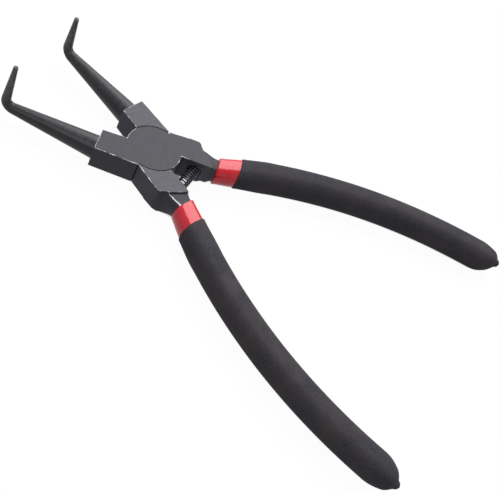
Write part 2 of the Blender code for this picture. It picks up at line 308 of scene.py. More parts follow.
def smooth(value, start, length):
    """Ease from 0 at start to 1 at start + length."""
    share = min(1.0, max(0.0, (value - start) / length))
    return share * share * (3 - 2 * share)


def spread(first, last, count):
    """Evenly spaced numbers, both ends included."""
    return [mix(first, last, i / (count - 1)) for i in range(count)]


def new_object(name, bm):
    """Turn a bmesh into an object with outward faces."""
    bmesh.ops.recalc_face_normals(bm, faces=bm.faces)
    mesh = bpy.data.meshes.new(name)
    bm.to_mesh(mesh)
    bm.free()
    obj = bpy.data.objects.new(name, mesh)
    bpy.context.scene.collection.objects.link(obj)
    return obj


def bridge(bm, loops, finish=None):
    """Join each ring of vertices to the next with quads.

    Finish gives a quad's material from its station along the rings and its place round them.
    """
    for station, (first, second) in enumerate(zip(loops, loops[1:])):
        for i in range(len(first)):
            j = (i + 1) % len(first)
            face = bm.faces.new((first[i], first[j], second[j], second[i]))
            if finish:
                face.material_index = finish(station, i)


def loft(name, rings, finish=None, end_finish=0):
    """Skin a run of closed rings and cap both ends."""
    bm = bmesh.new()
    loops = [[bm.verts.new(point) for point in ring] for ring in rings]
    bridge(bm, loops, finish)
    for loop in (loops[0], loops[-1]):
        bm.faces.new(loop).material_index = end_finish
    return new_object(name, bm)


def cup(name, outer_rings, inner_rings):
    """Skin a shell that is open at its first rings and closed at its last ones."""
    bm = bmesh.new()
    outer = [[bm.verts.new(point) for point in ring] for ring in outer_rings]
    inner = [[bm.verts.new(point) for point in ring] for ring in inner_rings]
    bridge(bm, outer)
    bridge(bm, inner)
    bridge(bm, [outer[0], inner[0]])
    bm.faces.new(outer[-1])
    bm.faces.new(inner[-1])
    return new_object(name, bm)


def circle(centre, across, up, radius, sides):
    """Points round a circle in the plane of two unit vectors."""
    turn = 2 * math.pi / sides
    return [centre + radius * (math.cos(i * turn) * across + math.sin(i * turn) * up)
            for i in range(sides)]


def turned(name, profile, sides):
    """Turn a profile of (radius, height) pairs about Z."""
    across, up = Vector((1, 0, 0)), Vector((0, 1, 0))
    return loft(name, [circle(Vector((0, 0, z)), across, up, radius, sides) for radius, z in profile])


def combine(base, other, operation):
    """Apply one Boolean to the base object and delete the other object."""
    modifier = base.modifiers.new(operation.lower(), "BOOLEAN")
    modifier.operation = operation
    modifier.solver = "EXACT"
    modifier.object = other
    evaluated = base.evaluated_get(bpy.context.evaluated_depsgraph_get())
    result = bpy.data.meshes.new_from_object(evaluated)
    base.modifiers.remove(modifier)
    base.data = result
    bpy.data.objects.remove(other)


def soften(points, corners, width):
    """Round the corners at the given places of a closed ring."""
    ring = []
    for i, point in enumerate(points):
        if i not in corners:
            ring.append(point)
            continue
        before = points[i - 1] - point
        after = points[(i + 1) % len(points)] - point
        start = point + before.normalized() * width
        end = point + after.normalized() * width
        for t in spread(0, 1, CORNER_POINTS):
            ring.append((1 - t) ** 2 * start + 2 * t * (1 - t) * point + t ** 2 * end)
    return ring


def inset(outline, width):
    """Draw a closed plan outline, which runs anticlockwise, in by a width."""
    moved = []
    for i, point in enumerate(outline):
        before = (point - outline[i - 1]).normalized()
        after = (outline[(i + 1) % len(outline)] - point).normalized()
        first = Vector((-before.y, before.x))
        second = Vector((-after.y, after.x))
        moved.append(point + (first + second) * width / (1 + first.dot(second)))
    return moved


def raised(outline, height):
    return [Vector((point.x, point.y, height)) for point in outline]


def ground_prism(name, outline, thickness, width):
    """Raise a plan outline, with ground flat faces and round edges.

    The edges are worn, apart from those under the other lever's disc and inside the root.
    """
    angles = spread(0, math.pi / 2, EDGE_RINGS)
    plans = [inset(outline, width * (1 - math.sin(angle))) for angle in angles]
    depths = [width * (1 - math.cos(angle)) for angle in angles]
    rings = [raised(plan, depth) for plan, depth in zip(plans, depths)]
    rings += [raised(plan, thickness - depth) for plan, depth in zip(plans[::-1], depths[::-1])]
    side = len(angles) - 1
    open_y = DISC_RADIUS * math.sin(2 * HALF_OPENING)

    def finish(station, place):
        if station == side:
            return FORGED
        start, end = outline[place], outline[(place + 1) % len(outline)]
        under_disc = start.length < DISC_RADIUS + width and abs(start.y) > open_y
        in_root = max(start.x, end.x) <= HEAD_END_X
        return GROUND if under_disc or in_root else WORN

    return loft(name, rings, finish, GROUND)


def plan_arc(start, end):
    """Plan points along the disc's edge, from one angle to another."""
    steps = max(2, round((end - start) / ARC_STEP))
    return [DISC_RADIUS * Vector((math.cos(a), math.sin(a))) for a in spread(start, end, steps + 1)]


def head_outline():
    """Plan of one closed lever's ground head: block, disc and the start of the root, anticlockwise."""
    wall = Vector((math.cos(STOP_ANGLE), math.sin(STOP_ANGLE)))
    clear = Vector((wall.y, -wall.x)) * STOP_GAP / 2
    wall_foot = wall * DISC_RADIUS + clear
    wall_top = wall * STOP_RADIUS + clear
    foot_angle = math.atan2(wall_foot.y, wall_foot.x)
    inner_end = Vector((HEAD_END_X, -ROOT_HALF_GAP))
    outer_end = Vector((HEAD_END_X, -SHOULDER_OFFSET))
    outline = [Vector((BLOCK_FRONT_X - BLOCK_SKEW, JAW_FRONT_HALF_GAP)),
               Vector((BLOCK_FRONT_X + BLOCK_SKEW, BLOCK_OUTER_Y)), Vector((wall_top.x, BLOCK_OUTER_Y))]
    outline += plan_arc(foot_angle, math.pi + math.asin(ROOT_HALF_GAP / DISC_RADIUS))
    outline += [inner_end, outer_end, -wall_top]
    stop_corner = len(outline) - 1
    outline += plan_arc(foot_angle - math.pi, math.asin(JAW_HALF_GAP / DISC_RADIUS))
    return soften(outline, (0, 1, 2, stop_corner), CORNER_RADIUS)


def jaw_rings(lever):
    """Rings along one closed lever's jaw: cone, bend and tip, jaw on +Y."""
    start = Vector((BLOCK_FRONT_X - CONE_ROOTING, CONE_CENTRE_Y, MID_HEIGHT + lever.base_lift))
    corner = Vector((BLOCK_FRONT_X + CONE_LENGTH, TIP_HALF_GAP + TIP_ROOT_RADIUS,
                     MID_HEIGHT + lever.bend_lift))
    up = Vector((0, 0, 1))
    along = (corner - start).normalized()
    side = along.cross(up).normalized()
    normal = side.cross(along)
    turn = along.angle(up)
    set_back = BEND_RADIUS * math.tan(turn / 2)
    straight = corner - along * set_back - start
    rings = []
    for share in spread(0, 1, CONE_RINGS):
        radius = mix(CONE_BASE_RADIUS, BEND_START_RADIUS, share)
        rings.append(circle(start + straight * share, side, normal, radius, CONE_SIDES))
    centre = start + straight + normal * BEND_RADIUS
    for share in spread(0, 1, BEND_RINGS)[1:]:
        inward = normal * math.cos(share * turn) - along * math.sin(share * turn)
        radius = mix(BEND_START_RADIUS, TIP_ROOT_RADIUS, share)
        rings.append(circle(centre - inward * BEND_RADIUS, side, inward, radius, CONE_SIDES))
    root = corner + up * set_back
    top = Vector((corner.x - TIP_LEAN_BACK, corner.y - TIP_LEAN, MID_HEIGHT + TIP_RISE))
    for share in spread(0, 1, TIP_RINGS)[1:]:
        middle = root.lerp(top - up * TIP_ROUNDING, share)
        rings.append(circle(middle, side, inward, mix(TIP_ROOT_RADIUS, TIP_END_RADIUS, share), CONE_SIDES))
    for angle in spread(0, math.pi / 2, TIP_END_RINGS)[1:]:
        middle = top - up * TIP_ROUNDING * (1 - math.sin(angle))
        radius = TIP_END_RADIUS - TIP_ROUNDING * (1 - math.cos(angle))
        rings.append(circle(middle, side, inward, radius, CONE_SIDES))
    return rings


def handle_point(t):
    """Point of the handle curve at a Bezier parameter, with the handle on +Y."""
    rest = 1 - t
    return (HANDLE_START + 3 * rest ** 2 * t * HANDLE_FIRST_PULL
            + 3 * rest * t ** 2 * HANDLE_SECOND_PULL + t ** 3 * HANDLE_SPAN)


def handle_place(distance):
    """Point and direction at a distance along the handle curve, on the -Y side of a closed lever."""
    point = handle_point(0)
    walked = 0.0
    for i in range(1, CURVE_STEPS + 1):
        following = handle_point(i / CURVE_STEPS)
        length = (following - point).length
        direction = (following - point) / length
        if walked + length >= distance:
            break
        walked += length
        point = following
    place = point + direction * (distance - walked)
    return Vector((place.x, -place.y)), Vector((direction.x, -direction.y))


def section(outer_top, outer_low, inner_top, inner_low, swell, top, low, oval_angle, crease):
    """Ring round a section with flat top and bottom, from its corners' plan places.

    Its sides swell out between the corners. Top and low are its heights from the middle.
    """
    across = (outer_top - inner_top).normalized()
    points = []
    sides = ((outer_top, outer_low, across, 1), (inner_top, inner_low, -across, -1))
    for upper, lower, outward, turn in sides:
        for angle in spread(-turn * oval_angle, turn * oval_angle, SIDE_POINTS):
            height = math.sin(angle) / math.sin(oval_angle)
            bulge = (math.cos(angle) - math.cos(oval_angle)) / (1 - math.cos(oval_angle))
            plan = mix(lower, upper, (1 + height) / 2) + outward * swell * bulge
            points.append(Vector((plan.x, plan.y, MID_HEIGHT + height * (top if height > 0 else low))))
    corners = (0, SIDE_POINTS - 1, SIDE_POINTS, 2 * SIDE_POINTS - 1)
    softened = soften(points, corners, crease)
    half = len(softened) // 2
    ring = []
    for side, other in ((softened[:half], softened[half:]), (softened[half:], softened[:half])):
        ring += side
        ring += [side[-1].lerp(other[0], share) for share in spread(0, 1, FLAT_POINTS + 2)[1:-1]]
    return ring


def handle_frame(distance):
    """Centre and cross direction of the handle's section, and the forging's half width and height.

    The layers' front edges lie square to X with the tool closed. The sections there lean to
    match, and square up to the handle further on.
    """
    point, direction = handle_place(distance)
    lean = (1 - smooth(distance, GRIP_START, SQUARE_UP_LENGTH)) * direction.y / direction.x
    across = Vector((-direction.y, direction.x)) + direction * lean
    taper = smooth(distance, GRIP_START, TANG_TAPER)
    half_width = mix(ROOT_HALF_WIDTH, TANG_HALF_WIDTH, taper)
    half_height = mix(ROOT_HALF_HEIGHT, TANG_HALF_HEIGHT, taper)
    return point, across, half_width, half_height


def handle_section(distance, cover, shrink=1.0, crease=NECK_CREASE, roundness=0.0, shift=0.0):
    """Ring across the handle, at a height of cover above the forging, shifted out sideways.

    Roundness moves it from a creased section, at 0, to a soft oval of the same width and
    height, at 1.
    """
    point, across, half_width, half_height = handle_frame(distance)
    point += across * shift
    half_width = (half_width + cover) * shrink
    half_height = (half_height + cover) * shrink
    oval_angle = math.asin(half_height / (half_height + OVAL_CROWN * shrink))
    flat = across * half_width * math.cos(oval_angle)
    swell = half_width * (1 - math.cos(oval_angle)) * across.length
    outer, inner = point + flat, point - flat
    ring = section(outer, outer, inner, inner, swell, half_height, half_height, oval_angle,
                   crease * shrink)
    centre = Vector((point.x, point.y, MID_HEIGHT))
    moved = []
    for place in ring:
        offset = place - centre
        width = offset.xy.length / (half_width * across.length)
        height = abs(offset.z) / half_height
        reach = (width ** OVAL_POWER + height ** OVAL_POWER) ** (-1 / OVAL_POWER)
        moved.append(centre + offset * mix(1, reach, roundness))
    return moved


def dip_section(distance, cover, shrink=1.0):
    """Ring across the red layer, which rounds the forging's corners as it grows thicker."""
    roundness = DIP_ROUNDNESS * min(1, cover / DIP_START_COVER)
    return handle_section(distance, cover, shrink, DIP_CREASE, roundness)


def grip_section(lever, distance, cover, shrink=1.0):
    """Ring across a grip, which starts with the shape of the layer under it and softens.

    The plastic ran to the grip's outer side before it set, so its end is shifted that way.
    """
    roundness = mix(DIP_ROUNDNESS, GRIP_ROUNDNESS, smooth(distance, GRIP_START, GRIP_TAPER))
    shift = lever.drip_shift * smooth(distance, TANG_ROUND_START, DRIP_SHIFT_RUN)
    return handle_section(distance, cover, shrink, DIP_CREASE, roundness, shift)


def outer_offset(lever, x):
    """Distance of a root's outer top edge from the centre line."""
    neck = NECK_OUTER_OFFSET - NECK_NARROWING * smooth(-x, -lever.ground_outer_x, NECK_NARROWING_RUN)
    return mix(SHOULDER_OFFSET, neck, smooth(-x, -lever.shoulder_x, SHOULDER_RUN))


def band_inner_offset():
    """Distance of the neck's inner corner from the centre line, at the dipped band."""
    band, _ = handle_place(BAND_START)
    return -band.y - ROOT_HALF_WIDTH * math.cos(ROOT_OVAL_ANGLE)


def inner_top_offset(lever, x):
    """Distance of a root's inner top edge from the centre line, with the burr beside the spring's seat."""
    burr = lever.burr * max(0.0, 1 - ((x - BURR_X) / BURR_HALF_WIDTH) ** 2)
    bend = smooth(-x, -lever.inner_bend_x, INNER_BEND_RUN)
    return mix(ROOT_HALF_GAP - burr, band_inner_offset(), bend)


def inner_low_offset(x):
    """Distance of a root's inner low edge from the centre line, which steps out at the foot's end."""
    foot = ROOT_HALF_GAP + FOOT_END_STEP * smooth(-x, -FOOT_END_X, FOOT_END_RUN)
    return mix(foot, band_inner_offset(), smooth(-x, -INNER_LOW_BEND_X, INNER_LOW_BEND_RUN))


def root_ring(lever, outer_x, inner_x, share, top, low, rise, crease):
    """Ring across a root. Share runs from 0 at the ground face's end to 1 at the dipped band."""
    fall = smooth(-outer_x, -SHOULDER_LOW_X, SHOULDER_LOW_RUN)
    outer_top = Vector((outer_x, -outer_offset(lever, outer_x) - rise))
    outer_low = Vector((outer_x, -mix(SHOULDER_OFFSET, NECK_LOW_OFFSET, fall) - rise))
    inner_top = Vector((inner_x, rise - inner_top_offset(lever, inner_x)))
    inner_low = Vector((inner_x, rise - inner_low_offset(inner_x)))
    swell = ROOT_HALF_WIDTH * (1 - math.cos(ROOT_OVAL_ANGLE)) * share
    return section(outer_top, outer_low, inner_top, inner_low, swell, top + rise, low + rise,
                   ROOT_OVAL_ANGLE, crease)


def root_rings(lever):
    """Rings from inside the head to the tang's end.

    The root lies a hair inside the head where they overlap, then a hair outside it.
    """
    rings = []
    for share in spread(0, 1, ROOT_STATIONS):
        outer_x = mix(ROOT_START_X, lever.ground_outer_x, share)
        inner_x = mix(ROOT_START_X, lever.ground_inner_x, share)
        out = smooth(-outer_x, -ROOT_START_X, ROOT_START_X - HEAD_END_X)
        rise = mix(-SEAM_SINK, SEAM_RISE, out)
        rings.append(root_ring(lever, outer_x, inner_x, 0, MID_HEIGHT, MID_HEIGHT, rise, EDGE_WIDTH))
    outer_x -= EDGE_WIDTH
    inner_x -= EDGE_WIDTH
    top = MID_HEIGHT - EDGE_WIDTH
    rings.append(root_ring(lever, outer_x, inner_x, 0, top, MID_HEIGHT, 0, EDGE_WIDTH))
    place, _ = handle_place(BAND_START)
    for share in spread(0, 1, NECK_STATIONS):
        ease = smooth(share, 0, 1)
        top = mix(MID_HEIGHT - lever.step, ROOT_HALF_HEIGHT, ease)
        low = mix(MID_HEIGHT - GROUND_LOW_STEP, ROOT_HALF_HEIGHT, ease)
        crease = mix(EDGE_WIDTH, NECK_CREASE, smooth(share, 0, NECK_CREASE_RUN))
        rings.append(root_ring(lever, mix(outer_x - STEP_RUN, place.x, share),
                               mix(inner_x - STEP_RUN, place.x, share), share, top, low, 0, crease))
    for distance in spread(BAND_START, TANG_ROUND_START, int(TANG_ROUND_START / HIDDEN_STEP))[1:]:
        rings.append(handle_section(distance, 0))
    for distance, shrink in end_stations(TANG_ROUND_START, TANG_ROUNDING):
        rings.append(handle_section(distance, 0, shrink))
    return rings


def root_finish(lever, station, place):
    """Finish of a quad of the root: ground flat with worn edges to the step, then the neck."""
    half, along = divmod(place, HALF_RING)
    on_neck = station >= ROOT_STATIONS
    round_edge = along - (HALF_RING - FLAT_POINTS - CORNER_POINTS)
    if round_edge > CORNER_POINTS - 2:
        if station == ROOT_STATIONS - 1:
            return WORN
        return lever.neck_flat if on_neck else GROUND
    if half or round_edge < 0:
        return FORGED
    if not on_neck:
        return WORN
    return lever.neck_edge if round_edge in BARE_HIGHLIGHT_QUADS else FORGED


def end_stations(start, length, half_width=0.0, drip=0.0):
    """Distances and widths, as shares of the full section, round an end and along its drip."""
    total = length + drip
    stations = []
    for angle in spread(0, math.pi / 2, END_STATIONS)[1:-1]:
        past = total * math.sin(angle)
        shrink = math.sqrt(max(0.0, 1 - (past / length) ** 2))
        if drip:
            left = total - past
            round_off = max(0.0, 1 - left / DRIP_TIP_RADIUS)
            cone = (DRIP_TIP_RADIUS + DRIP_SLOPE * left) * math.sqrt(1 - round_off ** 2)
            cone *= smooth(past, DRIP_FADE_START, DRIP_FADE)
            both = shrink ** DRIP_BLEND_POWER + (cone / half_width) ** DRIP_BLEND_POWER
            shrink = min(1.0, both ** (1 / DRIP_BLEND_POWER))
        stations.append((start + past, shrink))
    return stations


def layer_rings(draw, start, edge, first_cover, cover, end, ending):
    """Rings of a dipped layer's outer face, from its rounded front edge round its end."""
    rings = []
    for angle in spread(0, math.pi / 2, MOUTH_RINGS):
        height = mix(first_cover, cover(start + edge), math.sin(angle))
        rings.append(draw(start + edge * (1 - math.cos(angle)), height))
    for distance in spread(start + edge, end, int((end - start - edge) / STATION_STEP))[1:]:
        rings.append(draw(distance, cover(distance)))
    for distance, shrink in ending:
        rings.append(draw(distance, cover(end), shrink))
    return rings


def bore_rings(draw, start, cover):
    """Rings of a layer's inner face, from its mouth round the tang's end."""
    end = TANG_ROUND_START
    rings = [draw(distance, cover(distance))
             for distance in spread(start, end, int((end - start) / HIDDEN_STEP))]
    for distance, shrink in end_stations(end, TANG_ROUNDING + cover(end)):
        rings.append(draw(distance, cover(end), shrink))
    return rings


def dip_bore(distance):
    """Height of the red layer's inner face above the forging, the same all along."""
    return HIDDEN_GAP


def dip_cover(distance):
    """Height of the red layer's outer face above the forging."""
    return mix(DIP_START_COVER, DIP_COVER, smooth(distance, BAND_START, BAND_LENGTH))


def grip_bore(distance):
    """Height of the grip's inner face above the forging."""
    return dip_cover(distance) + HIDDEN_GAP


def grip_cover(distance):
    """Height of the grip's outer face above the forging."""
    return mix(GRIP_START_COVER, GRIP_COVER, smooth(distance, GRIP_START, GRIP_TAPER))


def spring_rings():
    """Rings along the spring's wire, with closed end coils, about an axis along Y."""
    coils = ACTIVE_COILS + 2 * END_COILS
    wire_length = 2 * (SPRING_HALF_LENGTH - WIRE_RADIUS)
    pitch = (wire_length - 2 * END_COILS * END_COIL_PITCH) / ACTIVE_COILS
    rings = []
    for i in range(coils * STEPS_PER_COIL + 1):
        turns = i / STEPS_PER_COIL
        in_first = min(turns, END_COILS)
        in_middle = min(max(turns - END_COILS, 0), ACTIVE_COILS)
        in_last = max(turns - END_COILS - ACTIVE_COILS, 0)
        along = (in_first + in_last) * END_COIL_PITCH + in_middle * pitch - wire_length / 2
        radial = Vector((math.cos(2 * math.pi * turns), 0, math.sin(2 * math.pi * turns)))
        centre = Vector((SPRING_X, along, MID_HEIGHT)) + radial * COIL_RADIUS
        rings.append(circle(centre, radial, Vector((0, 1, 0)), WIRE_RADIUS, WIRE_SIDES))
    return rings


def rivet_profile(gap, beyond):
    """Radius and height pairs of the rivet, or of its hole with a gap and length beyond the faces."""
    head = RIVET_HEAD_RADIUS + gap
    shank = RIVET_SHANK_RADIUS + gap
    profile = [(head, 0), (shank, RIVET_HEAD_DEPTH)]
    profile += [(shank, HEAD_THICKNESS - RIVET_HEAD_DEPTH), (head, HEAD_THICKNESS)]
    if beyond:
        profile = [(head, -beyond)] + profile + [(head, HEAD_THICKNESS + beyond)]
    return profile


def place_on_side(obj, side):
    """Mirror a closed piece to its lever's side and open it."""
    place = Matrix.Rotation(side * HALF_OPENING, 4, "Z") @ Matrix.Diagonal((1, side, 1, 1))
    obj.data.transform(place)
    if side < 0:
        obj.data.flip_normals()


def make_forging(lever, finishes):
    """One forging: head with its half disc, jaw, root and tang."""
    side = lever.side
    parts = [ground_prism(lever.name + "_forging", head_outline(), HEAD_THICKNESS, EDGE_WIDTH),
             loft("jaw", jaw_rings(lever), lambda station, place: TURNED, TURNED),
             loft("root", root_rings(lever), partial(root_finish, lever))]
    for part in parts:
        dress(part, finishes)
    forging, jaw, root = parts
    combine(forging, jaw, "UNION")
    combine(forging, root, "UNION")
    mid = MID_HEIGHT + side * LAP_GAP / 2
    far = MID_HEIGHT - side * HEAD_THICKNESS
    rim = DISC_RADIUS + RIM_GAP
    recess = turned("recess", [(rim, min(mid, far)), (rim, max(mid, far))], ROUND_SIDES)
    combine(forging, recess, "DIFFERENCE")
    hole = turned("hole", rivet_profile(RIVET_GAP, HEAD_THICKNESS), ROUND_SIDES)
    combine(forging, hole, "DIFFERENCE")
    place_on_side(forging, side)
    seat_end = Vector((SPRING_X, -side * (SPRING_HALF_LENGTH + SEAT_GAP), MID_HEIGHT))
    seat_mouth = Vector((SPRING_X, 0, MID_HEIGHT))
    across, up = Vector((1, 0, 0)), Vector((0, 0, 1))
    seat = [circle(centre, across, up, SEAT_RADIUS, SEAT_SIDES) for centre in (seat_end, seat_mouth)]
    combine(forging, loft("seat", seat), "DIFFERENCE")
    shade(forging, STEEL_SHARP_ANGLE)
    forging.modifiers.new("flat_faces", "WEIGHTED_NORMAL").keep_sharp = True
    return forging


def make_layer(name, side, outer_rings, inner_rings, material):
    layer = cup(name, outer_rings, inner_rings)
    place_on_side(layer, side)
    dress(layer, (material,))
    shade(layer, SOFT_SHARP_ANGLE)
    return layer


def make_dip(lever, material):
    """The red layer, over the whole tang."""
    outer_rings = layer_rings(dip_section, BAND_START, DIP_EDGE, HIDDEN_GAP + MOUTH_WIDTH, dip_cover,
                              TANG_ROUND_START, end_stations(TANG_ROUND_START, TANG_ROUNDING + DIP_COVER))
    inner_rings = bore_rings(handle_section, BAND_START, dip_bore)
    return make_layer(lever.name + "_dip_band", lever.side, outer_rings, inner_rings, material)


def make_grip(lever, material):
    """The grip, over the red layer, with a drip at its end."""
    ending = end_stations(GRIP_END_START, GRIP_END_LENGTH, TANG_HALF_WIDTH + GRIP_COVER, DRIP_LENGTH)
    outer_rings = layer_rings(partial(grip_section, lever), GRIP_START, GRIP_EDGE,
                              grip_bore(GRIP_START) + MOUTH_WIDTH, grip_cover, GRIP_END_START, ending)
    inner_rings = bore_rings(dip_section, GRIP_START, grip_bore)
    return make_layer(lever.name + "_handle_grip", lever.side, outer_rings, inner_rings, material)


def dress(obj, materials):
    for material in materials:
        obj.data.materials.append(material)


def shade(obj, angle):
    """Smooth the round faces and keep the edges that are sharper than an angle."""
    obj.data.shade_smooth()
    obj.data.set_sharp_from_angle(angle=angle)


def add_node(tree, kind, inputs, **settings):
    """Add a node, set its properties, and set or link its inputs."""
    node = tree.nodes.new(kind)
    for key, value in settings.items():
        setattr(node, key, value)
    for key, value in inputs.items():
        if isinstance(value, bpy.types.NodeSocket):
            tree.links.new(value, node.inputs[key])
        else:
            node.inputs[key].default_value = value
    return node


def add_levels(tree, value, low=0.0, high=1.0, first=0.0, second=1.0):
    """Stretch a value's range from low and high to first and second."""
    inputs = {"Value": value, "From Min": low, "From Max": high, "To Min": first, "To Max": second}
    return add_node(tree, "ShaderNodeMapRange", inputs).outputs[0]


def one_for(tree, value, rays):
    """1 for the given kinds of ray, else the value."""
    path = tree.nodes.new("ShaderNodeLightPath")
    for ray in rays:
        inputs = {0: value, 1: path.outputs[ray]}
        value = add_node(tree, "ShaderNodeMath", inputs, operation="MAXIMUM").outputs[0]
    return value


class Nodes:
    """A Principled material whose nodes are laid down one by one."""

    def __init__(self, name, specular, metallic=0.0):
        self.material = bpy.data.materials.new(name)
        self.material.use_nodes = True
        self.tree = self.material.node_tree
        self.shader = self.tree.nodes["Principled BSDF"]
        self.shader.inputs["Specular IOR Level"].default_value = specular
        self.shader.inputs["Metallic"].default_value = metallic
        self.place = self.tree.nodes.new("ShaderNodeTexCoord").outputs["Object"]

    def add(self, kind, inputs, **settings):
        return add_node(self.tree, kind, inputs, **settings)

    def feed(self, name, value):
        """Link a value to one of the shader's inputs."""
        self.tree.links.new(value, self.shader.inputs[name])

    def noise(self, size, detail=3.0, stretch=None, turn=0.0, waviness=0.0):
        """Noise with features of a size in metres, drawn out along the turned axes by stretch."""
        place = self.place
        if stretch:
            scale = tuple(1 / length for length in stretch)
            place = self.add("ShaderNodeMapping", {"Vector": place, "Rotation": (0, 0, turn)}).outputs[0]
            place = self.add("ShaderNodeMapping", {"Vector": place, "Scale": scale}).outputs[0]
        inputs = {"Vector": place, "Scale": 1 / size, "Detail": detail,
                  "Roughness": NOISE_ROUGHNESS, "Distortion": waviness}
        return self.add("ShaderNodeTexNoise", inputs).outputs["Fac"]

    def levels(self, value, low, high, first=0.0, second=1.0):
        return add_levels(self.tree, value, low, high, first, second)

    def band(self, value, middle, width):
        """1 where a value lies within a width of the middle, else 0."""
        inputs = {0: value, 1: middle, 2: width}
        return self.add("ShaderNodeMath", inputs, operation="COMPARE").outputs[0]

    def blend(self, share, first, second):
        """Mix two colours, or the outputs that give them."""
        inputs = {"Factor": share, 6: first, 7: second}
        return self.add("ShaderNodeMix", inputs, data_type="RGBA").outputs[2]

    def emboss(self, height, depth):
        """Bump the surface by a height output, to a depth in metres."""
        bump = self.add("ShaderNodeBump", {"Height": height, "Distance": depth, "Strength": 1.0})
        self.feed("Normal", bump.outputs[0])


def grey(level, tint=VIOLET_TINT):
    """A grey of a level in red, with the tint's shares of it in green and blue."""
    green, blue = tint
    return (level, level * green, level * blue, 1)


def ground_steel(name, level, contrast, turn):
    """Blackened steel, ground flat, with the wheel's marks running one way."""
    made = Nodes(name, specular=0.2, metallic=0.2)
    marks = made.noise(MARK_SIZE, 4.0, MARK_STRETCH, turn, MARK_WAVINESS)
    dark = grey(level * (1 - contrast))
    pale = grey(level * (1 + contrast))
    streaks = made.blend(made.levels(marks, 0.32, 0.66), dark, pale)
    clouds = made.levels(made.noise(GROUND_CLOUD_SIZE), 0.35, 0.65, 0.0, 0.5)
    made.feed("Base Color", made.blend(clouds, streaks, grey(level, GROUND_CLOUD_TINT)))
    made.feed("Roughness", made.levels(marks, 0.2, 0.8, 0.45, 0.6))
    made.emboss(marks, MARK_DEPTH * contrast)
    return made.material


def forged_steel():
    """Blackened forging skin with a fine grain."""
    made = Nodes("forged_steel", specular=0.25, metallic=0.2)
    grain = made.noise(FORGED_GRAIN_SIZE, 4.0)
    skin = made.blend(made.levels(grain, 0.35, 0.72), grey(0.024, FORGED_TINT), grey(0.055, FORGED_TINT))
    patches = made.levels(made.noise(FORGED_PATCH_SIZE), 0.3, 0.7, 0.0, 0.5)
    made.feed("Base Color", made.blend(patches, skin, grey(0.032, FORGED_TINT)))
    made.feed("Roughness", made.levels(grain, 0.2, 0.8, 0.45, 0.65))
    made.emboss(grain, FORGED_DEPTH)
    return made.material


def turned_steel():
    """Satin blackened jaws, mottled where they were tempered, and paler with height towards the tips."""
    made = Nodes("turned_steel", specular=0.22)
    mottle = made.noise(MOTTLE_SIZE, 4.0)
    skin = made.blend(made.levels(mottle, 0.35, 0.7), grey(0.026, TURNED_TINT), grey(0.042, TURNED_TINT))
    clouds = made.levels(made.noise(TEMPER_CLOUD_SIZE, 2.0), 0.35, 0.65, 0.0, 0.5)
    dark = made.blend(clouds, skin, grey(0.031, TURNED_TINT))
    pale = made.blend(made.levels(mottle, 0.4, 0.65), grey(0.065), grey(0.15, NEUTRAL_TINT))
    height = made.add("ShaderNodeSeparateXYZ", {"Vector": made.place}).outputs["Z"]
    # The jaws turn paler from one height to the next, towards the tips
    paler_with_height = made.levels(height, PALE_START_HEIGHT, PALE_FULL_HEIGHT, 0.0, 0.8)
    made.feed("Base Color", made.blend(paler_with_height, dark, pale))
    made.feed("Roughness", made.levels(mottle, 0.3, 0.7, 0.34, 0.46))
    made.emboss(mottle, MOTTLE_DEPTH)
    return made.material


def worn_steel(name, low, high, level):
    """Edges where the blackening has rubbed off, more so as a noise goes from low to high. At the bare
    edge's level the pale is also a painted highlight.
    """
    made = Nodes(name, specular=0.3)
    share = made.levels(made.noise(WEAR_SIZE, 5.0), low, high)
    made.feed("Base Color", made.blend(share, grey(0.075), grey(level, WORN_TINT)))
    made.feed("Metallic", made.levels(share, 0.0, 1.0, 0.2, 0.8))
    made.feed("Roughness", made.levels(share, 0.0, 1.0, 0.55, 0.35))
    return made.material


def spring_steel():
    """Oiled spring wire."""
    made = Nodes("spring_steel", specular=0.5, metallic=0.9)
    drawn = made.noise(WIRE_GRAIN_SIZE)
    made.feed("Base Color", made.blend(made.levels(drawn, 0.3, 0.7), grey(0.03), grey(0.09)))
    made.feed("Roughness", made.levels(drawn, 0.3, 0.7, 0.22, 0.36))
    return made.material


def red_dip():
    """Glossy soft plastic."""
    made = Nodes("red_dip", specular=0.4)
    waves = made.noise(DIP_WAVE_SIZE, 2.0)
    made.feed("Base Color", made.blend(made.levels(waves, 0.3, 0.7), RED_DARK, RED_PALE))
    made.feed("Roughness", made.levels(waves, 0.3, 0.7, 0.15, 0.24))
    made.emboss(waves, DIP_WAVE_DEPTH)
    return made.material


def black_dip():
    """Matt soft plastic with a sandy skin, dusty patches and lint."""
    made = Nodes("black_dip", specular=0.1)
    sand = made.noise(SAND_SIZE, 5.0)
    skin = made.blend(made.levels(sand, 0.35, 0.7), grey(0.027, GRIP_TINT), grey(0.062, GRIP_TINT))
    dust = made.levels(made.noise(DUST_SIZE, 4.0), 0.4, 0.7, 0.0, 0.8)
    dusty = made.blend(dust, skin, DUST)
    thread = made.band(made.noise(LINT_SIZE, 1.0), 0.5, LINT_WIDTH)
    broken = made.levels(made.noise(LINT_SIZE, 4.0), 0.52, 0.66, 0.0, 0.5)
    lint = made.add("ShaderNodeMath", {0: thread, 1: broken}, operation="MULTIPLY").outputs[0]
    made.feed("Base Color", made.blend(lint, dusty, grey(0.12, LINT_TINT)))
    made.feed("Roughness", made.levels(sand, 0.3, 0.7, 0.68, 0.85))
    made.emboss(sand, SAND_DEPTH)
    return made.material


